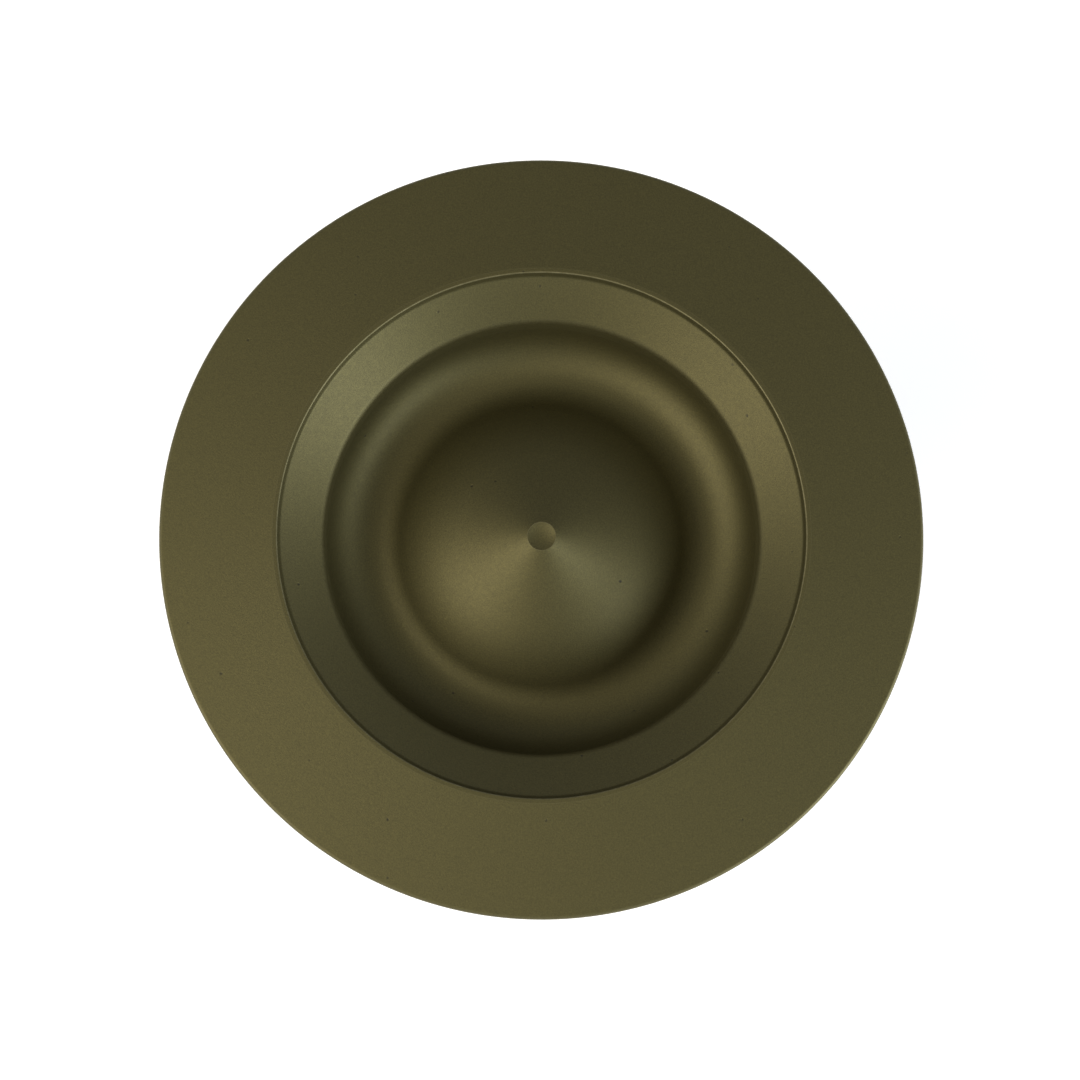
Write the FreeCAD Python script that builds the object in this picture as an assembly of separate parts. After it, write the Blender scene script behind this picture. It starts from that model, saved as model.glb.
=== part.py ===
"""A ball-bearing yo-yo turned from aluminium, lying on one face with its axle upright.

Units are millimetres. The origin is on the surface the yo-yo rests on, in line with the axle, and
+Z runs along the axle from the rear half up to the front half. Every round part is drawn once as a
half section, radius against height above the middle of the string gap, and turned about the axle.
"""

import FreeCAD
import Part

import math
import os

V = FreeCAD.Vector
AXIS = V(0, 0, 1)

# ---- driving dimensions ----

DIAMETER = 56.0
WIDTH = 41.0
GAP = 4.5  # between the two response faces
MIDDLE = WIDTH / 2  # height of the middle of the string gap above the rest surface
RIM = DIAMETER / 2

# The face: a sloping rim ring, a step, a bevel, a round-bottomed groove and a cone-topped hub.
CREST_INNER = 19.32
CREST_OUTER = 19.66
RIM_SLOPE = 6.0  # degrees, falling outwards
STEP_FOOT = 19.12
STEP_DROP = 0.50
BEVEL_SLOPE = 35.0
GROOVE_EDGE = 16.0
GROOVE_WALL = 15.95
GROOVE_FOOT = 11.4
GROOVE_DEPTH = 8.0
HUB_TIP_DROP = 1.90
HUB_CONE_SLOPE = 26.0
HUB_FLANK_SLOPE = 40.0
HUB_SHOULDER_RADIUS = 18.0
GROOVE_INNER_RADIUS = 2.8
GROOVE_OUTER_RADIUS = 3.4
DIMPLE_RADIUS = 1.05
DIMPLE_DEPTH = 0.16

# The string side: the rim band, a wide V that steepens towards the axle, and the response face.
RIM_BAND = 1.6
CATCH_KNEE = (19.4, 16.8)
CATCH_ROOT = (11.9, 6.7)
RESPONSE_OUTER = 10.8
CATCH_KNEE_RADIUS = 4.0
CATCH_ROOT_RADIUS = 3.0

# The seat in the middle of each half.
PAD_OUTER = 9.65
PAD_INNER = 7.35
PAD_RECESS_DEPTH = 1.10
PAD_SINK = 0.05  # how far a pad's face lies below the response face
PAD_ROOM = 0.02
BEARING_RECESS = 6.75
BEARING_RECESS_FLOOR = 2.75
SEAT_SHOULDER = 4.0
POST_RADIUS = 3.155
POST_END = 0.35
POST_CHAMFER = 0.20

# The axle, an M4 grub screw, and its tapped holes, both plain at the thread's outer diameter.
AXLE_RADIUS = 1.97
AXLE_LENGTH = 19.0
AXLE_CHAMFER = 0.35
TAPPED_RADIUS = 2.00
TAPPED_END = 10.2
DRILL_POINT = 59.0  # degrees between the drill's axis and its cone
SOCKET_ACROSS_FLATS = 2.0
SOCKET_DEPTH = 2.2

# The shielded ball bearing, a quarter inch by a half inch by three sixteenths.
BORE = 3.175
RACE_OUTER = 6.35
BEARING_HALF_WIDTH = 2.38125
INNER_RACE_OUTER = 4.15
OUTER_RACE_INNER = 5.35
BALL_RADIUS = 0.79375
BALL_COUNT = 8
PITCH_RADIUS = (BORE + RACE_OUTER) / 2
RACEWAY_RADIUS = 0.84
RACE_CHAMFER = 0.18
CAGE_INNER = 4.45
CAGE_OUTER = 5.05
CAGE_HALF_WIDTH = 1.08
BALL_POCKET_ROOM = 0.06
SHIELD_SEAT_RADIUS = 5.85
SHIELD_SEAT = 1.94
SHIELD_INNER = 4.30
SHIELD_OUTER = 5.82
SHIELD_THICKNESS = 0.18
SNAP_GROOVE_RADIUS = 6.02
SNAP_GROOVE_LOW = 2.14
SNAP_GROOVE_HIGH = 2.30
SNAP_RING_INNER = 5.55
SNAP_RING_OUTER = 5.98
SNAP_RING_OPENING = 26.0  # degrees


# ---- drawing tools ----


def tan(degrees):
    return math.tan(math.radians(degrees))


def rounded_wire(corners):
    """A closed wire through (radius, height, rounding) corners: straight runs joined by tangent arcs."""
    count = len(corners)
    spots = [V(c[0], 0, c[1]) for c in corners]
    entries, exits, middles = [], [], []
    for i, corner in enumerate(corners):
        here, before, after = spots[i], spots[i - 1], spots[(i + 1) % count]
        rounding = corner[2] if len(corner) > 2 else 0
        if not rounding:
            entries.append(here)
            exits.append(here)
            middles.append(None)
            continue
        back = (before - here).normalize()
        forward = (after - here).normalize()
        half_angle = back.getAngle(forward) / 2
        reach = rounding / math.tan(half_angle)
        centre = here + (back + forward).normalize() * (rounding / math.sin(half_angle))
        entries.append(here + back * reach)
        exits.append(here + forward * reach)
        middles.append(centre + (here - centre).normalize() * rounding)
    edges = []
    for i in range(count):
        if middles[i] is not None:
            edges.append(Part.Arc(entries[i], middles[i], exits[i]).toShape())
        following = entries[(i + 1) % count]
        if (following - exits[i]).Length > 1e-6:
            edges.append(Part.LineSegment(exits[i], following).toShape())
    return Part.Wire(edges)


def turned(corners):
    """The solid made by turning a rounded outline a full turn about the axle."""
    return Part.Face(rounded_wire(corners)).revolve(V(0, 0, 0), AXIS, 360)


def ring(inner, outer, low, high, edge=0.0):
    """A flat ring, its four edges rounded by edge."""
    return turned([(inner, low, edge), (outer, low, edge), (outer, high, edge), (inner, high, edge)])


def as_rear(shape):
    """The same piece on the rear half: turned over across the string gap."""
    turned_over = shape.copy()
    turned_over.rotate(V(0, 0, 0), V(1, 0, 0), 180)
    return turned_over


# ---- the two turned halves ----


def face_corners():
    """The outside face, from the axle out to the rim band."""
    top = WIDTH / 2
    hub_tip = top - HUB_TIP_DROP
    floor = top - GROOVE_DEPTH
    # The hub's cone and its steep flank, carried on until they cross.
    rise = hub_tip + DIMPLE_RADIUS * tan(HUB_CONE_SLOPE) - floor
    flank, cone = tan(HUB_FLANK_SLOPE), tan(HUB_CONE_SLOPE)
    shoulder = (GROOVE_FOOT * flank - rise) / (flank - cone)
    shoulder_height = floor + (GROOVE_FOOT - shoulder) * flank
    bevel_top = top - STEP_DROP
    bevel_foot = bevel_top - (STEP_FOOT - GROOVE_EDGE) * tan(BEVEL_SLOPE)
    rim_edge = top - (RIM - CREST_OUTER) * tan(RIM_SLOPE)
    return [
        (0, hub_tip),
        (DIMPLE_RADIUS, hub_tip, 0.05),
        (shoulder, shoulder_height, HUB_SHOULDER_RADIUS),
        (GROOVE_FOOT, floor, GROOVE_INNER_RADIUS),
        (GROOVE_WALL, floor, GROOVE_OUTER_RADIUS),
        (GROOVE_EDGE, bevel_foot, 0.45),
        (STEP_FOOT, bevel_top, 0.20),
        (CREST_INNER, top, 0.08),
        (CREST_OUTER, top, 0.60),
        (RIM, rim_edge, 0.28),
        (RIM, rim_edge - RIM_BAND, 0.70),
    ]


def string_side_corners():
    """The catch zone, the response face and the bearing seat, from the rim in to the axle."""
    response = GAP / 2
    pad_floor = response + PAD_RECESS_DEPTH
    drill_tip = TAPPED_END + TAPPED_RADIUS / tan(DRILL_POINT)
    return [
        (*CATCH_KNEE, CATCH_KNEE_RADIUS),
        (*CATCH_ROOT, CATCH_ROOT_RADIUS),
        (RESPONSE_OUTER, response, 0.60),
        (PAD_OUTER, response),
        (PAD_OUTER, pad_floor),
        (PAD_INNER, pad_floor),
        (PAD_INNER, response),
        (BEARING_RECESS, response, 0.10),
        (BEARING_RECESS, BEARING_RECESS_FLOOR, 0.10),
        (SEAT_SHOULDER, BEARING_RECESS_FLOOR),
        (SEAT_SHOULDER, BEARING_HALF_WIDTH),
        (POST_RADIUS, BEARING_HALF_WIDTH),
        (POST_RADIUS, POST_END + POST_CHAMFER),
        (POST_RADIUS - POST_CHAMFER, POST_END),
        (TAPPED_RADIUS + POST_CHAMFER, POST_END),
        (TAPPED_RADIUS, POST_END + POST_CHAMFER),
        (TAPPED_RADIUS, TAPPED_END),
        (0, drill_tip),
    ]


def make_half():
    """One half, face up, with the shallow dimple in the tip of its hub."""
    blank = turned(face_corners() + string_side_corners())
    ball_nose = (DIMPLE_RADIUS**2 + DIMPLE_DEPTH**2) / (2 * DIMPLE_DEPTH)
    hub_tip = WIDTH / 2 - HUB_TIP_DROP
    cutter = Part.makeSphere(ball_nose, V(0, 0, hub_tip - DIMPLE_DEPTH + ball_nose))
    return blank.cut(cutter)


def make_response_pad():
    """The silicone ring that grips the string, glued into its recess."""
    face = GAP / 2 + PAD_SINK
    floor = GAP / 2 + PAD_RECESS_DEPTH
    inner, outer = PAD_INNER + PAD_ROOM, PAD_OUTER - PAD_ROOM
    return turned([(inner, face, 0.12), (outer, face, 0.12), (outer, floor), (inner, floor)])


# ---- the axle ----


def make_axle():
    """A grub screw with a hexagon socket in each end."""
    end = AXLE_LENGTH / 2
    tip = AXLE_RADIUS - AXLE_CHAMFER
    outline = [(0, -end), (tip, -end), (AXLE_RADIUS, AXLE_CHAMFER - end)]
    outline += [(AXLE_RADIUS, end - AXLE_CHAMFER), (tip, end), (0, end)]
    axle = turned(outline)
    corner = SOCKET_ACROSS_FLATS / 2 / math.cos(math.pi / 6)
    turns = [k * math.pi / 3 for k in range(7)]
    hexagon = Part.makePolygon([V(corner * math.cos(a), corner * math.sin(a), end) for a in turns])
    socket = Part.Face(hexagon).extrude(V(0, 0, -SOCKET_DEPTH))
    return axle.cut([socket, as_rear(socket)])


# ---- the ball bearing ----


def raceway():
    """The ring-shaped cutter of the groove the balls run in."""
    return Part.makeTorus(PITCH_RADIUS, RACEWAY_RADIUS)


def make_inner_race():
    half = BEARING_HALF_WIDTH
    return ring(BORE, INNER_RACE_OUTER, -half, half, RACE_CHAMFER).cut(raceway())


def make_outer_race():
    """The outer race, with a seat and a snap-ring groove for the shield at each end."""
    half = BEARING_HALF_WIDTH
    blank = ring(OUTER_RACE_INNER, RACE_OUTER, -half, half, RACE_CHAMFER)
    seat = ring(OUTER_RACE_INNER - 1, SHIELD_SEAT_RADIUS, SHIELD_SEAT, half + 1)
    groove = ring(OUTER_RACE_INNER, SNAP_GROOVE_RADIUS, SNAP_GROOVE_LOW, SNAP_GROOVE_HIGH)
    return blank.cut([raceway(), seat, as_rear(seat), groove, as_rear(groove)])


def make_cage():
    """The ring that keeps the balls evenly spaced, with a hole drilled through for each."""
    band = ring(CAGE_INNER, CAGE_OUTER, -CAGE_HALF_WIDTH, CAGE_HALF_WIDTH, 0.08)
    pocket = BALL_RADIUS + BALL_POCKET_ROOM
    centres = [ball_centre(k) for k in range(BALL_COUNT)]
    return band.cut([Part.makeCylinder(pocket, 2 * CAGE_OUTER, V(0, 0, 0), c) for c in centres])


def ball_centre(k):
    turn = 2 * math.pi * k / BALL_COUNT
    return V(PITCH_RADIUS * math.cos(turn), PITCH_RADIUS * math.sin(turn), 0)


def make_shield():
    """The thin steel cover over the balls."""
    low = SHIELD_SEAT + 0.01
    return ring(SHIELD_INNER, SHIELD_OUTER, low, low + SHIELD_THICKNESS, 0.05)


def make_snap_ring():
    """The open wire ring that holds a shield in its seat."""
    whole = ring(SNAP_RING_INNER, SNAP_RING_OUTER, SNAP_GROOVE_LOW + 0.01, SNAP_GROOVE_HIGH - 0.01)
    reach = SNAP_RING_OUTER + 1
    slot = reach * tan(SNAP_RING_OPENING / 2)
    corners = [V(0, 0, 0), V(reach, -slot, 0), V(reach, slot, 0), V(0, 0, 0)]
    opening = Part.Face(Part.makePolygon(corners)).extrude(V(0, 0, WIDTH / 2))
    return whole.cut(opening)


# ---- every piece, by node name ----


def make_pieces():
    half, pad, shield, snap_ring = make_half(), make_response_pad(), make_shield(), make_snap_ring()
    pieces = {
        "front_half": half,
        "rear_half": as_rear(half),
        "front_response_pad": pad,
        "rear_response_pad": as_rear(pad),
        "axle": make_axle(),
        "bearing_inner_race": make_inner_race(),
        "bearing_outer_race": make_outer_race(),
        "bearing_cage": make_cage(),
        "front_shield": shield,
        "rear_shield": as_rear(shield),
        "front_snap_ring": snap_ring,
        "rear_snap_ring": as_rear(snap_ring),
    }
    for k in range(BALL_COUNT):
        pieces[f"bearing_ball_{k + 1}"] = Part.makeSphere(BALL_RADIUS, ball_centre(k))
    return pieces


os.makedirs("parts", exist_ok=True)
for node, shape in make_pieces().items():
    shape.translate(V(0, 0, MIDDLE))
    assert shape.isValid() and shape.Volume > 0, node
    shape.exportStep(f"parts/{node}.step")
    print(f"{node}: {len(shape.Solids)} solid, {shape.Volume:.2f} mm3")
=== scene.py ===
"""A turned aluminium yo-yo with a ball bearing, lying on its rear face.

Lengths are written in millimetres and made metres by MM. Heights of turned pieces are above the
middle of the string gap, and every piece ends in the CAD model's frame.
"""

import math

import bmesh
import bpy
from mathutils import Matrix, Vector


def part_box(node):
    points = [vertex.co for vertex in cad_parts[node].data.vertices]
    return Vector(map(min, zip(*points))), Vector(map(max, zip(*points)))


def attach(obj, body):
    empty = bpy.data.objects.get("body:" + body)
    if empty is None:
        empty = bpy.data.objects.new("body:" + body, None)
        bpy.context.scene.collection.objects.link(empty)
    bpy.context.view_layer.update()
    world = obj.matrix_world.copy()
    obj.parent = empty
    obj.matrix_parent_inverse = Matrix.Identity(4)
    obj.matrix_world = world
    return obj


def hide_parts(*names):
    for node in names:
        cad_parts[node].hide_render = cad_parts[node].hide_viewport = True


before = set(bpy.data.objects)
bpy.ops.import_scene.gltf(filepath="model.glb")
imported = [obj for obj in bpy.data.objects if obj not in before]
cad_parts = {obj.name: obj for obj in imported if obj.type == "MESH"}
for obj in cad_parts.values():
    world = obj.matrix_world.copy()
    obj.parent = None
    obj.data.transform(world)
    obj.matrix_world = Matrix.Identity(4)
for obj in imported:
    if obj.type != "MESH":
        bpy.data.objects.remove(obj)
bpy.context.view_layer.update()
MM = 0.001


# ---- the two halves ----
# Each half is one solid turning of 6061 aluminium: a rim ring, a step, a bevel, a round-bottomed
# groove and a hub on the outside, a V and a bearing seat on the string side. It is bead-blasted,
# then anodised dark olive, and the turning marks show faintly through the blasting.

middle = sum(v.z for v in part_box("front_half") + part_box("rear_half")) / 4
half_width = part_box("front_half")[1].z - middle
rim_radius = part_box("front_half")[1].x


def rounded_outline(corners, closed, fine=4.0, lead=0.07):
    """Points of a half section and how exposed each is: straight runs joined by tangent arcs.

    A corner is (radius, height) or (radius, height, rounding, wear). Arcs take a step of fine
    degrees, and each long run keeps a point a short lead from its ends, so it stays flat.
    """
    count = len(corners)
    spots = [Vector(c[:2]) for c in corners]
    points = []
    for i, corner in enumerate(corners):
        here = spots[i]
        rounding = corner[2] if len(corner) > 2 else 0
        wear = corner[3] if len(corner) > 3 else 0
        at_end = not closed and i in (0, count - 1)
        if at_end or not rounding:
            run = [(here, wear)]
        else:
            back = (spots[i - 1] - here).normalized()
            forward = (spots[(i + 1) % count] - here).normalized()
            half_angle = back.angle(forward) / 2
            reach = rounding / math.tan(half_angle)
            centre = here + (back + forward).normalized() * (rounding / math.sin(half_angle))
            start = here + back * reach - centre
            sweep = math.pi - 2 * half_angle
            if start.cross(forward) < 0:
                sweep = -sweep
            steps = max(3, math.ceil(math.degrees(abs(sweep)) / fine))
            run = []
            for k in range(steps + 1):
                turned = Matrix.Rotation(sweep * k / steps, 2) @ start
                run.append((centre + turned, wear * math.sin(math.pi * k / steps)))
        if points:
            add_lead_points(points, run[0], lead)
        points += run
    if closed:
        add_lead_points(points, points[0], lead)
    return points


def add_lead_points(points, following, lead):
    """Two points just inside the straight run from the last point to the following one."""
    start, end = points[-1][0], following[0]
    length = (end - start).length
    if length > 4 * lead:
        along = (end - start).normalized() * lead
        points += [(start + along, 0), (end - along, 0)]


def new_tree(name, **inputs):
    """An empty Geometry Nodes tree with these inputs and a Finish, and what is needed to fill it."""
    tree = bpy.data.node_groups.new(name, "GeometryNodeTree")
    for title, kind in (inputs | {"Finish": "Material"}).items():
        spelled = title.replace("_", " ")
        tree.interface.new_socket(spelled, in_out="INPUT", socket_type=f"NodeSocket{kind}")
    tree.interface.new_socket("Piece", in_out="OUTPUT", socket_type="NodeSocketGeometry")
    given = tree.nodes.new("NodeGroupInput").outputs
    return tree, tree.nodes, tree.links.new, given


def give_finish(tree, given, geometry):
    """The end of every tree: real geometry with its material on."""
    real = tree.nodes.new("GeometryNodeRealizeInstances")
    finish = tree.nodes.new("GeometryNodeSetMaterial")
    out = tree.nodes.new("NodeGroupOutput")
    tree.links.new(geometry, real.inputs[0])
    tree.links.new(real.outputs[0], finish.inputs["Geometry"])
    tree.links.new(given["Finish"], finish.inputs["Material"])
    tree.links.new(finish.outputs[0], out.inputs[0])
    return tree


def raised(nodes, link, geometry, height):
    """The geometry moved up by a height."""
    up = nodes.new("ShaderNodeCombineXYZ")
    link(height, up.inputs["Z"])
    lift = nodes.new("GeometryNodeTransform")
    link(geometry, lift.inputs["Geometry"])
    link(up.outputs[0], lift.inputs["Translation"])
    return lift.outputs[0]


def lathe_tree():
    """Geometry Nodes that turn a half section round the Z axis."""
    tree, nodes, link, given = new_tree(
        "turned on a lathe", Half_Section="Geometry", Swing="Float", Steps_Round="Int", Height="Float"
    )

    # The section is moved in by the swing, so that sweeping it round a circle of that radius puts
    # every point back at its own radius. The sweep lays the section's Y downwards.
    place = nodes.new("GeometryNodeInputPosition")
    apart = nodes.new("ShaderNodeSeparateXYZ")
    inwards = nodes.new("ShaderNodeMath")
    inwards.operation = "SUBTRACT"
    downwards = nodes.new("ShaderNodeMath")
    downwards.operation = "MULTIPLY"
    downwards.inputs[1].default_value = -1
    together = nodes.new("ShaderNodeCombineXYZ")
    shift = nodes.new("GeometryNodeSetPosition")
    link(place.outputs["Position"], apart.inputs[0])
    link(apart.outputs["X"], inwards.inputs[0])
    link(given["Swing"], inwards.inputs[1])
    link(apart.outputs["Y"], downwards.inputs[0])
    link(inwards.outputs[0], together.inputs["X"])
    link(downwards.outputs[0], together.inputs["Y"])
    link(given["Half Section"], shift.inputs["Geometry"])
    link(together.outputs[0], shift.inputs["Position"])
    section = nodes.new("GeometryNodeMeshToCurve")
    link(shift.outputs[0], section.inputs["Mesh"])

    circle = nodes.new("GeometryNodeCurvePrimitiveCircle")
    link(given["Steps Round"], circle.inputs["Resolution"])
    link(given["Swing"], circle.inputs["Radius"])
    upright = nodes.new("GeometryNodeSetCurveNormal")
    upright.mode = "Z_UP"
    link(circle.outputs["Curve"], upright.inputs["Curve"])
    sweep = nodes.new("GeometryNodeCurveToMesh")
    link(upright.outputs[0], sweep.inputs["Curve"])
    link(section.outputs[0], sweep.inputs["Profile Curve"])
    merge = nodes.new("GeometryNodeMergeByDistance")
    merge.inputs["Distance"].default_value = 1e-7
    link(sweep.outputs[0], merge.inputs["Geometry"])
    return give_finish(tree, given, raised(nodes, link, merge.outputs[0], given["Height"]))


turned_on_a_lathe = lathe_tree()


def made_by(tree, start, name, sizes, sharp=25):
    """The plain mesh piece a tree makes from a starting mesh, facing outwards, creased where sharp."""
    maker = bpy.data.objects.new(name, start)
    bpy.context.scene.collection.objects.link(maker)
    work = maker.modifiers.new(tree.name, "NODES")
    work.node_group = tree
    for socket in tree.interface.items_tree:
        if socket.item_type == "SOCKET" and socket.in_out == "INPUT" and socket.name in sizes:
            work[socket.identifier] = sizes[socket.name]
    seen = maker.evaluated_get(bpy.context.evaluated_depsgraph_get())
    mesh = bpy.data.meshes.new_from_object(seen)
    mesh.name = name
    bpy.data.objects.remove(maker)
    shell = bmesh.new()
    shell.from_mesh(mesh)
    bmesh.ops.recalc_face_normals(shell, faces=shell.faces)
    for face in shell.faces:
        face.smooth = True
    for edge in shell.edges:
        edge.smooth = edge.calc_face_angle(0) < math.radians(sharp)
    shell.to_mesh(mesh)
    shell.free()
    piece = bpy.data.objects.new(name, mesh)
    bpy.context.scene.collection.objects.link(piece)
    return piece


def turn(name, corners, finish, closed=True, steps=192, over=False, fine=4.0, lead=0.07):
    """A turned piece from its half section, or the same piece turned over for the rear half."""
    points = rounded_outline(corners, closed, fine, lead)
    side = -1 if over else 1
    start = bpy.data.meshes.new(name)
    runs = [(k, k + 1) for k in range(len(points) - 1)] + ([(len(points) - 1, 0)] if closed else [])
    start.from_pydata([(p.x * MM, side * p.y * MM, 0) for p, _ in points], runs, [])
    worn = start.attributes.new("wear", "FLOAT", "POINT")
    worn.data.foreach_set("value", [wear for _, wear in points])
    sizes = {"Swing": 20 * MM, "Steps Round": steps, "Height": middle}
    sizes["Finish"] = finish
    return made_by(turned_on_a_lathe, start, name, sizes)


def tan(degrees):
    return math.tan(math.radians(degrees))


def half_section():
    """The half's outline, from the tip of the hub round the rim to the point of the tapped hole."""
    top, rim = half_width / MM, rim_radius / MM
    # hub: shallow dimple, cone, steep flank
    dimple, dimple_depth, tip = 1.05, 0.16, top - 1.90
    ball_nose = (dimple**2 + dimple_depth**2) / (2 * dimple_depth)
    bowl = []
    for k in range(6):
        r = dimple * k / 6
        bowl.append((r, tip - dimple_depth + ball_nose - math.sqrt(ball_nose**2 - r**2)))
    cone, flank, foot, floor, wall = tan(26), tan(40), 11.4, top - 8.0, 15.95
    rise = tip + dimple * cone - floor
    shoulder = (foot * flank - rise) / (flank - cone)
    face = bowl + [
        (dimple, tip, 0.05, 1),
        (shoulder, floor + (foot - shoulder) * flank, 18.0),
        (foot, floor, 2.8),
        (wall, floor, 3.4),
    ]
    # bevel, step, crest and rim ring
    groove_edge, step_foot, crest_inner, crest_outer = 16.0, 19.12, 19.32, 19.66
    bevel_top, rim_band = top - 0.50, 1.6
    rim_edge = top - (rim - crest_outer) * tan(6)
    face += [
        (groove_edge, bevel_top - (step_foot - groove_edge) * tan(35), 0.80, 0.2),
        (step_foot, bevel_top, 0.40),
        (crest_inner, top, 0.13, 1),
        (crest_outer, top, 0.60, 0.3),
        (rim, rim_edge, 0.28, 0.3),
        (rim, rim_edge - rim_band, 0.70, 0.5),
    ]
    # string side: knee and root of the V, response face and pad recess
    response, pad_outer, pad_inner, pad_floor = 2.25, 9.65, 7.35, 3.35
    face += [
        (19.4, 16.8, 4.0),
        (11.9, 6.7, 3.0),
        (10.8, response, 0.60, 0.4),
        (pad_outer, response),
        (pad_outer, pad_floor),
        (pad_inner, pad_floor),
        (pad_inner, response),
    ]
    # bearing recess, the shoulder the bearing sits on, its post and the tapped hole
    recess, recess_floor, shoulder_out, seat = 6.75, 2.75, 4.0, 2.38125
    post, post_end, chamfer, tapped, tapped_end = 3.155, 0.35, 0.20, 2.00, 10.2
    face += [
        (recess, response, 0.10, 0.5),
        (recess, recess_floor, 0.10),
        (shoulder_out, recess_floor),
        (shoulder_out, seat),
        (post, seat),
        (post, post_end + chamfer),
        (post - chamfer, post_end),
        (tapped + chamfer, post_end),
        (tapped, post_end + chamfer),
        (tapped, tapped_end),
        (0, tapped_end + tapped / tan(59)),
    ]
    return face


def painter(name):
    """A new material with helpers that add a node and set its inputs by name."""
    material = bpy.data.materials.new(name)
    material.use_nodes = True
    tree = material.node_tree
    shader = next(n for n in tree.nodes if n.type == "BSDF_PRINCIPLED")

    def node(kind, **values):
        made = tree.nodes.new(kind)
        for key, value in values.items():
            if isinstance(value, str) or isinstance(value, bool):
                setattr(made, key, value)
            else:
                made.inputs[key.replace("_", " ")].default_value = value
        return made

    return material, shader, node, tree.links.new


def round_the_axle(node, link):
    """Texture coordinates, as placed and as (distance from the axle, height)."""
    place = node("ShaderNodeTexCoord")
    apart = node("ShaderNodeSeparateXYZ")
    link(place.outputs["Object"], apart.inputs[0])
    flat = node("ShaderNodeCombineXYZ")
    link(apart.outputs["X"], flat.inputs["X"])
    link(apart.outputs["Y"], flat.inputs["Y"])
    radius = node("ShaderNodeVectorMath", operation="LENGTH")
    link(flat.outputs[0], radius.inputs[0])
    across = node("ShaderNodeCombineXYZ")
    link(radius.outputs["Value"], across.inputs["X"])
    link(apart.outputs["Z"], across.inputs["Y"])
    return place.outputs["Object"], across.outputs[0], radius.outputs["Value"]


def olive_anodised():
    """Bead-blasted, dark olive anodised aluminium with faint turning marks and rubbed edges."""
    material, shader, node, link = painter("olive anodised aluminium")
    shader.inputs["Metallic"].default_value = 0.9
    shader.inputs["Coat Weight"].default_value = 0.35
    shader.inputs["Coat Roughness"].default_value = 0.55
    shader.inputs["Coat IOR"].default_value = 1.6
    place, across, _ = round_the_axle(node, link)

    # turning marks follow the radius and the height only
    marks = node("ShaderNodeTexNoise", Scale=5200.0, Detail=3.0, Roughness=0.6)
    link(across, marks.inputs["Vector"])

    # bead-blasted grain, fine and even
    grain = node("ShaderNodeTexNoise", Scale=9000.0, Detail=2.5, Roughness=0.65)
    link(place, grain.inputs["Vector"])
    coarse = node("ShaderNodeTexNoise", Scale=2600.0, Detail=2.0, Roughness=0.5)
    link(place, coarse.inputs["Vector"])

    # a few small dents, darkened inside, close round the points of a sparse pattern
    dents = node("ShaderNodeTexVoronoi", Scale=420.0, Randomness=1.0)
    link(place, dents.inputs["Vector"])
    dent = node("ShaderNodeMapRange")
    dent.inputs["From Min"].default_value = 0.0
    dent.inputs["From Max"].default_value = 0.055
    dent.inputs["To Min"].default_value = 1.0
    dent.inputs["To Max"].default_value = 0.0
    link(dents.outputs["Distance"], dent.inputs["Value"])

    # colour: olive, a little uneven in the grain, paler where an edge is rubbed, dark in the dents
    olive = node("ShaderNodeValToRGB")
    olive.color_ramp.elements[0].position = 0.30
    olive.color_ramp.elements[0].color = (0.072, 0.0620, 0.0175, 1)
    olive.color_ramp.elements[1].position = 0.72
    olive.color_ramp.elements[1].color = (0.109, 0.0940, 0.0275, 1)
    link(grain.outputs["Fac"], olive.inputs["Fac"])
    wear = node("ShaderNodeAttribute", attribute_name="wear")
    rubbed = node("ShaderNodeMath", operation="MULTIPLY")
    link(wear.outputs["Fac"], rubbed.inputs[0])
    link(coarse.outputs["Fac"], rubbed.inputs[1])
    colour = node("ShaderNodeMix", data_type="RGBA")
    colour.inputs["B"].default_value = (0.22, 0.195, 0.10, 1)
    link(rubbed.outputs[0], colour.inputs["Factor"])
    link(olive.outputs["Color"], colour.inputs["A"])
    # a very dark colour mixed in inside the dents
    dark_in_dents = node("ShaderNodeMix", data_type="RGBA")
    dark_in_dents.inputs["B"].default_value = (0.020, 0.018, 0.008, 1)
    link(dent.outputs["Result"], dark_in_dents.inputs["Factor"])
    link(colour.outputs["Result"], dark_in_dents.inputs["A"])
    link(dark_in_dents.outputs["Result"], shader.inputs["Base Color"])

    rough = node("ShaderNodeMapRange")
    rough.inputs["To Min"].default_value = 0.53
    rough.inputs["To Max"].default_value = 0.63
    link(coarse.outputs["Fac"], rough.inputs["Value"])
    link(rough.outputs["Result"], shader.inputs["Roughness"])

    lines = node("ShaderNodeBump", Strength=0.10, Distance=0.00002)
    link(marks.outputs["Fac"], lines.inputs["Height"])
    blast = node("ShaderNodeBump", Strength=0.5, Distance=0.00003)
    link(grain.outputs["Fac"], blast.inputs["Height"])
    link(lines.outputs["Normal"], blast.inputs["Normal"])
    pits = node("ShaderNodeBump", Strength=0.6, Distance=0.00008, invert=True)
    link(dent.outputs["Result"], pits.inputs["Height"])
    link(blast.outputs["Normal"], pits.inputs["Normal"])
    link(pits.outputs["Normal"], shader.inputs["Normal"])
    return material


olive = olive_anodised()
for body, over in (("front", False), ("rear", True)):
    half = turn(f"{body}_half_turned", half_section(), olive, closed=False, steps=320, over=over)
    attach(half, body)
    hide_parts(f"{body}_half")


# ---- response pads ----
# A flat ring of white silicone in each half, moulded 1.05 mm thick and glued into its recess, its
# face just under the metal. It grips the string.


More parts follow.
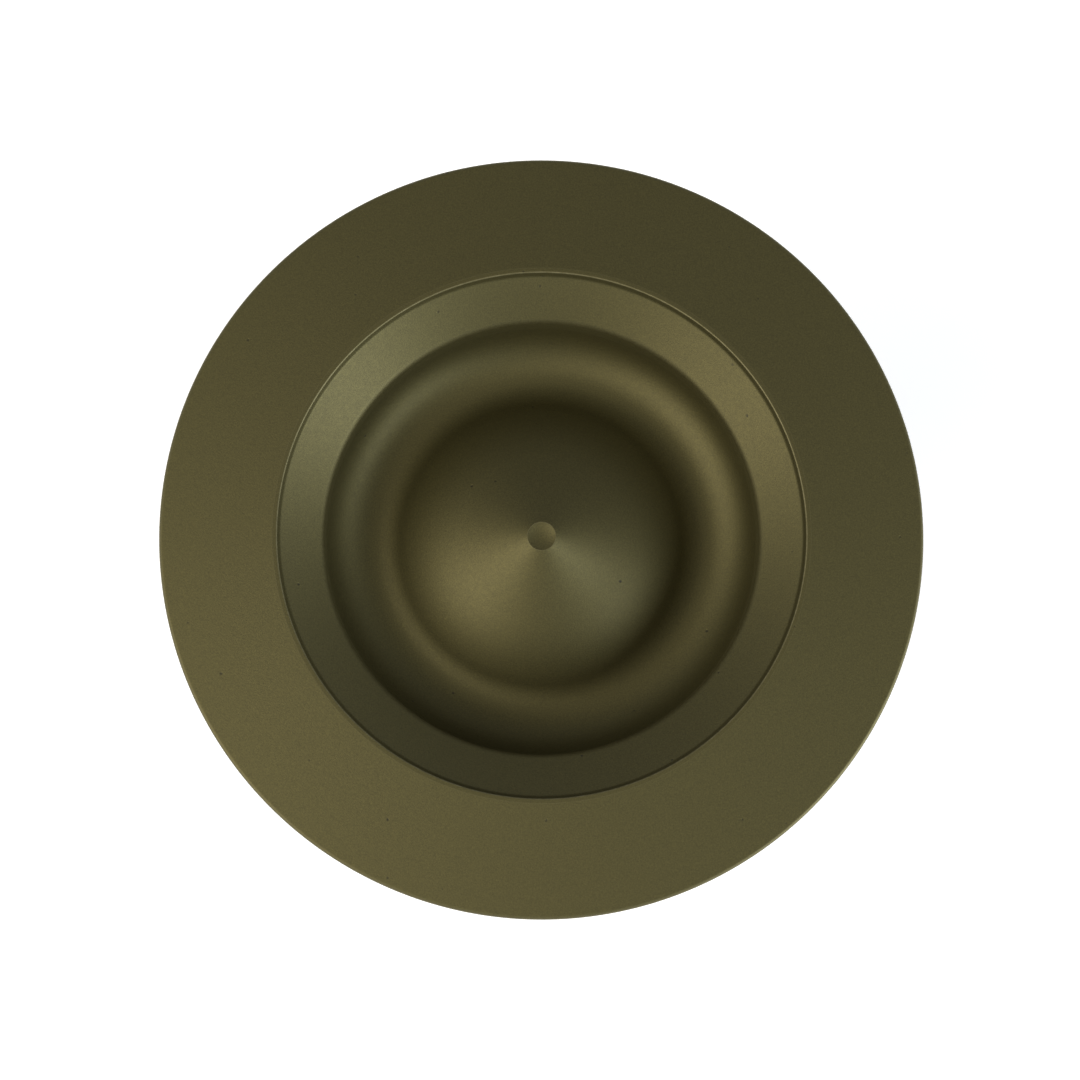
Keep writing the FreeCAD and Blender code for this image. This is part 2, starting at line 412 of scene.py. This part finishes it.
def silicone():
    """Milky silicone, slightly dusty, with a fine moulded texture."""
    material, shader, node, link = painter("white silicone")
    shader.inputs["Subsurface Weight"].default_value = 0.35
    shader.inputs["Subsurface Scale"].default_value = 0.0008
    shader.inputs["Specular IOR Level"].default_value = 0.4
    place, across, _ = round_the_axle(node, link)
    dust = node("ShaderNodeTexNoise", Scale=1500.0, Detail=4.0, Roughness=0.6)
    link(place, dust.inputs["Vector"])
    milk = node("ShaderNodeValToRGB")
    milk.color_ramp.elements[0].position = 0.35
    milk.color_ramp.elements[0].color = (0.56, 0.54, 0.49, 1)
    milk.color_ramp.elements[1].position = 0.62
    milk.color_ramp.elements[1].color = (0.70, 0.69, 0.65, 1)
    link(dust.outputs["Fac"], milk.inputs["Fac"])
    link(milk.outputs["Color"], shader.inputs["Base Color"])
    rough = node("ShaderNodeMapRange")
    rough.inputs["To Min"].default_value = 0.45
    rough.inputs["To Max"].default_value = 0.62
    link(dust.outputs["Fac"], rough.inputs["Value"])
    link(rough.outputs["Result"], shader.inputs["Roughness"])
    rubbing = node("ShaderNodeTexNoise", Scale=3800.0, Detail=2.0, Roughness=0.5)
    link(across, rubbing.inputs["Vector"])
    skin = node("ShaderNodeBump", Strength=0.25, Distance=0.00003)
    link(rubbing.outputs["Fac"], skin.inputs["Height"])
    link(skin.outputs["Normal"], shader.inputs["Normal"])
    return material


white_silicone = silicone()
pad_section = [(7.37, 2.30, 0.12), (9.63, 2.30, 0.12), (9.63, 3.35), (7.37, 3.35)]
for body, over in (("front", False), ("rear", True)):
    pad = turn(f"{body}_pad_moulded", pad_section, white_silicone, over=over, fine=12.0)
    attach(pad, body)
    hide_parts(f"{body}_response_pad")


# ---- axle ----
# An M4 x 0.7 grub screw of black-oxided steel, 19 mm long, with a 2 mm hexagon socket in each end.
# The thread is rolled and right-handed, both ends are chamfered, and it stays in the rear half.


def thread_tree():
    """Geometry Nodes that cut a right-hand thread and hexagon sockets into a turned blank."""
    sizes = {size: "Float" for size in ("Crest", "Depth", "Pitch", "Half_Across_Flats")}
    tree, nodes, link, given = new_tree("threaded and socketed", Blank="Geometry", **sizes)

    def work_out(operation, *parts, clamp=False):
        made = nodes.new("ShaderNodeMath")
        made.operation = operation
        made.use_clamp = clamp
        for k, part in enumerate(parts):
            if isinstance(part, float):
                made.inputs[k].default_value = part
            else:
                link(part, made.inputs[k])
        return made.outputs[0]

    def marked(name):
        made = nodes.new("GeometryNodeInputNamedAttribute")
        made.data_type = "FLOAT"
        made.inputs["Name"].default_value = name
        return made.outputs["Attribute"]

    place = nodes.new("GeometryNodeInputPosition")
    apart = nodes.new("ShaderNodeSeparateXYZ")
    link(place.outputs["Position"], apart.inputs[0])
    x, y, z = apart.outputs
    radius = work_out("SQRT", work_out("ADD", work_out("MULTIPLY", x, x), work_out("MULTIPLY", y, y)))
    bearing = work_out("ARCTAN2", y, x)

    # one ridge per pitch, with a flat on the crest and a wider one at the root
    climb = work_out("DIVIDE", z, given["Pitch"])
    phase = work_out("FRACT", work_out("SUBTRACT", climb, work_out("DIVIDE", bearing, math.tau)))
    from_crest = work_out("ABSOLUTE", work_out("MULTIPLY_ADD", phase, 2.0, -1.0))
    cut = work_out("DIVIDE", work_out("SUBTRACT", from_crest, 0.125), 0.625, clamp=True)
    thread = work_out("SUBTRACT", given["Crest"], work_out("MULTIPLY", cut, given["Depth"]))
    cut_to = work_out("MINIMUM", radius, thread)
    threaded = work_out("MULTIPLY", marked("threaded"), work_out("SUBTRACT", cut_to, radius))

    # the socket's flats stand half the key size from the axis
    off_flat = work_out("SUBTRACT", work_out("FLOORED_MODULO", bearing, math.pi / 3), math.pi / 6)
    flat = work_out("DIVIDE", given["Half Across Flats"], work_out("COSINE", off_flat))
    socketed = work_out("MULTIPLY", marked("socket"), work_out("SUBTRACT", flat, radius))

    reach = work_out("ADD", radius, work_out("ADD", threaded, socketed))
    scale = work_out("DIVIDE", reach, work_out("MAXIMUM", radius, 1e-9))
    together = nodes.new("ShaderNodeCombineXYZ")
    link(work_out("MULTIPLY", x, scale), together.inputs["X"])
    link(work_out("MULTIPLY", y, scale), together.inputs["Y"])
    link(z, together.inputs["Z"])
    shift = nodes.new("GeometryNodeSetPosition")
    link(given["Blank"], shift.inputs["Geometry"])
    link(together.outputs[0], shift.inputs["Position"])
    return give_finish(tree, given, shift.outputs[0])


def black_oxide():
    """Blackened steel with a brown cast, rubbed bare along the crests of the thread."""
    material, shader, node, link = painter("black oxide steel")
    shader.inputs["Metallic"].default_value = 0.9
    place, across, radius = round_the_axle(node, link)
    oil = node("ShaderNodeTexNoise", Scale=1900.0, Detail=4.0, Roughness=0.6)
    link(place, oil.inputs["Vector"])
    oxide = node("ShaderNodeValToRGB")
    oxide.color_ramp.elements[0].position = 0.35
    oxide.color_ramp.elements[0].color = (0.020, 0.019, 0.018, 1)
    oxide.color_ramp.elements[1].position = 0.68
    oxide.color_ramp.elements[1].color = (0.050, 0.042, 0.034, 1)
    link(oil.outputs["Fac"], oxide.inputs["Fac"])
    crest = node("ShaderNodeMapRange")
    crest.inputs["From Min"].default_value = 1.93 * MM
    crest.inputs["From Max"].default_value = 1.99 * MM
    link(radius, crest.inputs["Value"])
    bare = node("ShaderNodeMath", operation="MULTIPLY")
    link(crest.outputs["Result"], bare.inputs[0])
    link(oil.outputs["Fac"], bare.inputs[1])
    colour = node("ShaderNodeMix", data_type="RGBA")
    colour.inputs["B"].default_value = (0.34, 0.33, 0.31, 1)
    link(bare.outputs[0], colour.inputs["Factor"])
    link(oxide.outputs["Color"], colour.inputs["A"])
    link(colour.outputs["Result"], shader.inputs["Base Color"])
    rough = node("ShaderNodeMapRange")
    rough.inputs["To Min"].default_value = 0.34
    rough.inputs["To Max"].default_value = 0.56
    link(oil.outputs["Fac"], rough.inputs["Value"])
    link(rough.outputs["Result"], shader.inputs["Roughness"])
    rolled = node("ShaderNodeTexNoise", Scale=8000.0, Detail=2.0, Roughness=0.6)
    link(across, rolled.inputs["Vector"])
    marks = node("ShaderNodeBump", Strength=0.2, Distance=0.00001)
    link(rolled.outputs["Fac"], marks.inputs["Height"])
    link(marks.outputs["Normal"], shader.inputs["Normal"])
    return material


def screw_blank():
    """The axle's half section from tip to tip: rows fine enough to carry the thread, and sockets."""
    crest, end, chamfer, lead_in = 1.97, 9.5, 0.35, 1.20
    floor, mouth = end - 2.2, end - 0.08
    rows = 350
    outline = [(0, -floor, 0, 0), (1, -floor, 0, 1), (1, -mouth, 0, 1), (lead_in, -end, 0, 0)]
    outline.append((crest - chamfer, -end, 0, 0))
    for k in range(1, rows):
        h = end * (2 * k / rows - 1)
        outline.append((min(crest, crest - chamfer + end - abs(h)), h, 1, 0))
    outline.append((crest - chamfer, end, 0, 0))
    outline += [(lead_in, end, 0, 0), (1, mouth, 0, 1), (1, floor, 0, 1), (0, floor, 0, 0)]
    blank = bpy.data.meshes.new("screw blank")
    runs = [(k, k + 1) for k in range(len(outline) - 1)]
    blank.from_pydata([(r * MM, h * MM, 0) for r, h, _, _ in outline], runs, [])
    for place, name in ((2, "threaded"), (3, "socket")):
        mark = blank.attributes.new(name, "FLOAT", "POINT")
        mark.data.foreach_set("value", [float(row[place]) for row in outline])
    return blank


black_steel = black_oxide()
sizes = {"Swing": 20 * MM, "Steps Round": 72, "Height": middle, "Finish": black_steel}
blank = made_by(turned_on_a_lathe, screw_blank(), "axle_blank", sizes)
sizes = {"Crest": 1.97 * MM, "Depth": 0.43 * MM, "Pitch": 0.7 * MM, "Half Across Flats": 1.0 * MM}
sizes["Finish"] = black_steel
axle = made_by(thread_tree(), blank.data, "axle_threaded", sizes, sharp=35)
bpy.data.objects.remove(blank)
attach(axle, "rear")
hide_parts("axle")


# ---- bearing races ----
# The inner and outer race of a 1/4 x 1/2 x 3/16 inch ball bearing: hardened chrome steel, ground all
# over, with a polished raceway. The outer race also has a seat and a snap-ring groove at each end.


def ground_steel(name, dark, light, smoothest, roughest, marks_scale, marks_strength):
    """Bare steel with marks that run round the axle, a little uneven in colour and polish."""
    material, shader, node, link = painter(name)
    shader.inputs["Metallic"].default_value = 1.0
    place, across, _ = round_the_axle(node, link)
    marks = node("ShaderNodeTexNoise", Scale=marks_scale, Detail=3.0, Roughness=0.6)
    link(across, marks.inputs["Vector"])
    film = node("ShaderNodeTexNoise", Scale=900.0, Detail=4.0, Roughness=0.55)
    link(place, film.inputs["Vector"])
    tint = node("ShaderNodeValToRGB")
    tint.color_ramp.elements[0].position = 0.32
    tint.color_ramp.elements[0].color = dark
    tint.color_ramp.elements[1].position = 0.70
    tint.color_ramp.elements[1].color = light
    link(film.outputs["Fac"], tint.inputs["Fac"])
    link(tint.outputs["Color"], shader.inputs["Base Color"])
    rough = node("ShaderNodeMapRange")
    rough.inputs["To Min"].default_value = smoothest
    rough.inputs["To Max"].default_value = roughest
    link(marks.outputs["Fac"], rough.inputs["Value"])
    link(rough.outputs["Result"], shader.inputs["Roughness"])
    lines = node("ShaderNodeBump", Strength=marks_strength, Distance=0.00001)
    link(marks.outputs["Fac"], lines.inputs["Height"])
    link(lines.outputs["Normal"], shader.inputs["Normal"])
    return material


def raceway(side, start_height):
    """The groove the balls run in, upwards on the inner race (-1) and downwards on the outer (1)."""
    pitch, groove = 4.7625, 0.84
    half_sweep = math.asin(start_height / groove)
    angles = [half_sweep * (k / 8 - 1) * side * -1 for k in range(17)]
    return [(pitch + side * groove * math.cos(a), groove * math.sin(a)) for a in angles]


chrome_steel = ground_steel(
    "chrome bearing steel", (0.47, 0.47, 0.46, 1), (0.60, 0.60, 0.59, 1), 0.10, 0.24, 7000.0, 0.12
)
face, bore, land = 2.38125, 3.175, 4.15
inner_section = [(bore, face, 0.18, 1), (bore, -face, 0.18, 1), (land, -face, 0.18, 1)]
inner_section += raceway(-1, 0.5748) + [(land, face, 0.18, 1)]
inner_race = turn("inner_race_ground", inner_section, chrome_steel, fine=15.0)
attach(inner_race, "race")
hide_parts("bearing_inner_race")

land, seat, groove, outside = 5.35, 5.85, 6.02, 6.35
end_steps = [(land, 1.94), (seat, 1.94), (seat, 2.14), (groove, 2.14), (groove, 2.30), (seat, 2.30)]
outer_section = [(outside, -face, 0.18, 1), (outside, face, 0.18, 1), (seat, face)]
outer_section += end_steps[::-1] + raceway(1, 0.5984) + [(r, -h) for r, h in end_steps]
outer_section.append((seat, -face))
outer_race = turn("outer_race_ground", outer_section, chrome_steel, fine=15.0, lead=0.01)
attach(outer_race, "outer_race")
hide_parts("bearing_outer_race")


# ---- bearing balls ----
# Eight 1/16 inch balls of the same chrome steel, lapped to a mirror. They touch both raceways and
# sit evenly spaced in the cage.


def ball_tree():
    """Geometry Nodes that lap a ball and set it on its centre."""
    tree, nodes, link, given = new_tree(
        "lapped ball", Start="Geometry", Radius="Float", Centre="Vector"
    )
    ball = nodes.new("GeometryNodeMeshIcoSphere")
    ball.inputs["Subdivisions"].default_value = 5
    link(given["Radius"], ball.inputs["Radius"])
    place = nodes.new("GeometryNodeTransform")
    link(ball.outputs["Mesh"], place.inputs["Geometry"])
    link(given["Centre"], place.inputs["Translation"])
    return give_finish(tree, given, place.outputs[0])


def lapped_steel():
    """Mirror-lapped steel with a thin, uneven film of oil."""
    material, shader, node, link = painter("lapped ball steel")
    shader.inputs["Metallic"].default_value = 1.0
    shader.inputs["Base Color"].default_value = (0.62, 0.62, 0.61, 1)
    place, _, _ = round_the_axle(node, link)
    oil = node("ShaderNodeTexNoise", Scale=2400.0, Detail=4.0, Roughness=0.6)
    link(place, oil.inputs["Vector"])
    rough = node("ShaderNodeMapRange")
    rough.inputs["To Min"].default_value = 0.04
    rough.inputs["To Max"].default_value = 0.16
    link(oil.outputs["Fac"], rough.inputs["Value"])
    link(rough.outputs["Result"], shader.inputs["Roughness"])
    film = node("ShaderNodeBump", Strength=0.05, Distance=0.00001)
    link(oil.outputs["Fac"], film.inputs["Height"])
    link(film.outputs["Normal"], shader.inputs["Normal"])
    return material


lapped_ball, mirror_steel = ball_tree(), lapped_steel()
for k in range(1, 9):
    low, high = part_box(f"bearing_ball_{k}")
    sizes = {"Radius": (high.z - low.z) / 2, "Centre": (low + high) / 2, "Finish": mirror_steel}
    nothing = bpy.data.meshes.new("ball start")
    ball = made_by(lapped_ball, nothing, f"ball_{k}_lapped", sizes)
    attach(ball, f"ball_{k}")
    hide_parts(f"bearing_ball_{k}")


# ---- bearing cage ----
# A thin steel ring between the races, drilled through for the eight balls with a little room. It
# floats on the balls.


def drilling_tree():
    """Geometry Nodes that drill evenly spaced holes straight out through a ring."""
    sizes = {size: "Float" for size in ("Pitch_Radius", "Hole_Radius", "Hole_Length", "Height")}
    tree, nodes, link, given = new_tree("drilled for the balls", Ring="Geometry", Holes="Int", **sizes)
    spots = nodes.new("GeometryNodeMeshCircle")
    link(given["Holes"], spots.inputs["Vertices"])
    link(given["Pitch Radius"], spots.inputs["Radius"])
    drill = nodes.new("GeometryNodeMeshCylinder")
    drill.inputs["Vertices"].default_value = 48
    link(given["Hole Radius"], drill.inputs["Radius"])
    link(given["Hole Length"], drill.inputs["Depth"])
    outwards = nodes.new("FunctionNodeAlignRotationToVector")
    outwards.axis = "Z"
    place = nodes.new("GeometryNodeInputPosition")
    link(place.outputs["Position"], outwards.inputs["Vector"])
    drills = nodes.new("GeometryNodeInstanceOnPoints")
    link(spots.outputs["Mesh"], drills.inputs["Points"])
    link(drill.outputs["Mesh"], drills.inputs["Instance"])
    link(outwards.outputs["Rotation"], drills.inputs["Rotation"])
    solid_drills = nodes.new("GeometryNodeRealizeInstances")
    link(raised(nodes, link, drills.outputs["Instances"], given["Height"]), solid_drills.inputs[0])
    cut = nodes.new("GeometryNodeMeshBoolean")
    cut.operation = "DIFFERENCE"
    cut.solver = "EXACT"
    link(given["Ring"], cut.inputs["Mesh 1"])
    link(solid_drills.outputs[0], cut.inputs["Mesh 2"])
    return give_finish(tree, given, cut.outputs["Mesh"])


pressed_steel = ground_steel(
    "pressed cage steel", (0.36, 0.34, 0.31, 1), (0.50, 0.48, 0.44, 1), 0.26, 0.44, 4200.0, 0.25
)
low, high, cage_edge = 4.45, 5.05, 1.08
band_section = [(low, -cage_edge, 0.08), (high, -cage_edge, 0.08)]
band_section += [(high, cage_edge, 0.08), (low, cage_edge, 0.08)]
band = turn("cage_band", band_section, pressed_steel, fine=25.0, lead=1.0)
sizes = {"Holes": 8, "Pitch Radius": 4.7625 * MM, "Hole Radius": 0.854 * MM}
sizes |= {"Hole Length": 1.6 * MM, "Height": middle, "Finish": pressed_steel}
cage = made_by(drilling_tree(), band.data, "cage_drilled", sizes)
bpy.data.objects.remove(band)
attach(cage, "cage")
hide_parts("bearing_cage")


# ---- bearing shields ----
# A stamped disc of thin bright steel at each end of the bearing, pressed with one shallow step. It
# rests in the outer race's seat and clears the inner race.

bright_steel = ground_steel(
    "stamped shield steel", (0.52, 0.51, 0.49, 1), (0.64, 0.63, 0.61, 1), 0.18, 0.34, 5200.0, 0.18
)
shield_section = [(4.30, 2.01, 0.04), (5.18, 2.01, 0.08), (5.34, 1.95, 0.08), (5.82, 1.95, 0.04)]
shield_section += [(5.82, 2.07, 0.04), (5.34, 2.07, 0.08), (5.18, 2.13, 0.08), (4.30, 2.13, 0.04)]
for end, over in (("front", False), ("rear", True)):
    shield = turn(f"{end}_shield_stamped", shield_section, bright_steel, over=over, fine=20.0)
    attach(shield, "outer_race")
    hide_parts(f"{end}_shield")


# ---- snap rings ----
# An open ring of flat spring wire sprung into the outer race's groove over each shield. Its two cut
# ends stand 26 degrees apart.


def open_ring_tree():
    """Geometry Nodes that bend flat wire, its edges rolled round, into an open ring."""
    names = ("Radius", "Wire_Width", "Wire_Thickness", "Edge", "Opening", "Height")
    sizes = {size: "Float" for size in names}
    tree, nodes, link, given = new_tree("bent from flat wire", Start="Geometry", **sizes)
    half = nodes.new("ShaderNodeMath")
    half.operation = "MULTIPLY"
    half.inputs[1].default_value = 0.5
    link(given["Opening"], half.inputs[0])
    rest = nodes.new("ShaderNodeMath")
    rest.operation = "SUBTRACT"
    rest.inputs[0].default_value = math.tau
    link(given["Opening"], rest.inputs[1])
    arc = nodes.new("GeometryNodeCurveArc")
    arc.inputs["Resolution"].default_value = 160
    link(given["Radius"], arc.inputs["Radius"])
    link(half.outputs[0], arc.inputs["Start Angle"])
    link(rest.outputs[0], arc.inputs["Sweep Angle"])
    upright = nodes.new("GeometryNodeSetCurveNormal")
    upright.mode = "Z_UP"
    link(arc.outputs["Curve"], upright.inputs["Curve"])
    wire = nodes.new("GeometryNodeCurvePrimitiveQuadrilateral")
    link(given["Wire Width"], wire.inputs["Width"])
    link(given["Wire Thickness"], wire.inputs["Height"])
    rolled = nodes.new("GeometryNodeFilletCurve")
    rolled.mode = "POLY"
    rolled.inputs["Count"].default_value = 4
    link(wire.outputs["Curve"], rolled.inputs["Curve"])
    link(given["Edge"], rolled.inputs["Radius"])
    sweep = nodes.new("GeometryNodeCurveToMesh")
    sweep.inputs["Fill Caps"].default_value = True
    link(upright.outputs[0], sweep.inputs["Curve"])
    link(rolled.outputs[0], sweep.inputs["Profile Curve"])
    joined = nodes.new("GeometryNodeMergeByDistance")
    joined.inputs["Distance"].default_value = 1e-7
    link(sweep.outputs[0], joined.inputs["Geometry"])
    return give_finish(tree, given, raised(nodes, link, joined.outputs[0], given["Height"]))


spring_steel = ground_steel(
    "spring steel wire", (0.22, 0.215, 0.21, 1), (0.33, 0.325, 0.32, 1), 0.22, 0.38, 6000.0, 0.2
)
bent_from_flat_wire = open_ring_tree()
for end in ("front", "rear"):
    low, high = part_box(f"{end}_snap_ring")
    sizes = {"Radius": 5.765 * MM, "Wire Width": 0.43 * MM, "Wire Thickness": high.z - low.z}
    sizes |= {"Edge": 0.04 * MM, "Opening": math.radians(26), "Height": (low.z + high.z) / 2}
    sizes["Finish"] = spring_steel
    nothing = bpy.data.meshes.new("wire start")
    snap_ring = made_by(bent_from_flat_wire, nothing, f"{end}_snap_ring_bent", sizes)
    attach(snap_ring, "outer_race")
    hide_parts(f"{end}_snap_ring")


# ---- the studio ----
# A pale table with a faint glow, a warm soft panel at the lower left, a cool one at the lower
# right, and air that is brighter and bluer towards the horizon.

table_mesh = bpy.data.meshes.new("table")
table_mesh.from_pydata([(-3, -3, 0), (3, -3, 0), (3, 3, 0), (-3, 3, 0)], [], [(0, 1, 2, 3)])
table = bpy.data.objects.new("table", table_mesh)
bpy.context.scene.collection.objects.link(table)
table.location.z = -0.0001
pale, shader, node, link = painter("pale table")
shader.inputs["Base Color"].default_value = (0.90, 0.90, 0.90, 1)
shader.inputs["Roughness"].default_value = 0.8
shader.inputs["Emission Color"].default_value = (1.0, 1.0, 1.0, 1)
shader.inputs["Emission Strength"].default_value = 0.45
table_mesh.materials.append(pale)

VIEW_TILT = 6.5
VIEW_ROLL = 5.5
VIEW_DISTANCE = 0.230
FACE_SHARE = 0.3538  # the face's radius as a share of the view's width
CENTRING = Vector((-0.00009, -0.00038, 0))
SENSOR = 36
face_centre = Vector((0, 0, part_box("front_half")[1].z - 0.0012))


def looking(direction_tilt, direction_turn):
    """A unit vector out from the face, tilted from its axis towards a bearing in the view."""
    t, a = math.radians(direction_tilt), math.radians(direction_turn)
    return Vector((math.sin(t) * math.cos(a), math.sin(t) * math.sin(a), math.cos(t)))


def panel(name, tilt, bearing, distance, size, watts, colour):
    """A soft rectangular light that faces the middle of the face."""
    light = bpy.data.lights.new(name, "AREA")
    light.shape = "RECTANGLE"
    light.size, light.size_y = size
    light.energy = watts
    light.color = colour
    lamp = bpy.data.objects.new(name, light)
    out = looking(tilt, bearing)
    lamp.location = face_centre + out * distance
    lamp.rotation_mode = "QUATERNION"
    lamp.rotation_quaternion = out.to_track_quat("Z", "Y")
    bpy.context.scene.collection.objects.link(lamp)


panel("warm panel", 47, -147, 0.60, (0.40, 0.56), 3.2, (1.0, 0.94, 0.82))
panel("cool panel", 72, -25, 0.60, (0.24, 0.40), 3.2, (0.95, 1.0, 1.02))

world = bpy.data.worlds.new("studio air")
world.use_nodes = True
air = world.node_tree
sky = air.nodes["Background"]
bearing = air.nodes.new("ShaderNodeTexCoord")
upward = air.nodes.new("ShaderNodeSeparateXYZ")
dimmer = air.nodes.new("ShaderNodeMapRange")
dimmer.inputs["From Min"].default_value = 0.0
dimmer.inputs["From Max"].default_value = 1.0
dimmer.inputs["To Min"].default_value = 0.64
dimmer.inputs["To Max"].default_value = 0.20
air.links.new(bearing.outputs["Generated"], upward.inputs[0])
air.links.new(upward.outputs["Z"], dimmer.inputs["Value"])
air.links.new(dimmer.outputs["Result"], sky.inputs["Strength"])
tint = air.nodes.new("ShaderNodeValToRGB")
tint.color_ramp.elements[0].color = (0.90, 0.99, 1.20, 1)
tint.color_ramp.elements[1].color = (1.0, 0.98, 0.94, 1)
air.links.new(upward.outputs["Z"], tint.inputs["Fac"])
air.links.new(tint.outputs["Color"], sky.inputs["Color"])
bpy.context.scene.world = world
bpy.context.scene.view_settings.view_transform = "Standard"

lens = bpy.data.cameras.new("camera")
lens.sensor_width = SENSOR
lens.lens = SENSOR * FACE_SHARE * VIEW_DISTANCE / rim_radius
lens.clip_start = 0.01
camera = bpy.data.objects.new("camera", lens)
out = looking(VIEW_TILT, -90)
camera.location = face_centre + out * VIEW_DISTANCE + CENTRING
camera.rotation_mode = "QUATERNION"
camera.rotation_quaternion = out.to_track_quat("Z", "Y")
roll = Matrix.Rotation(math.radians(VIEW_ROLL), 4, "Z").to_quaternion()
camera.rotation_quaternion = camera.rotation_quaternion @ roll
bpy.context.scene.collection.objects.link(camera)
bpy.context.scene.camera = camera
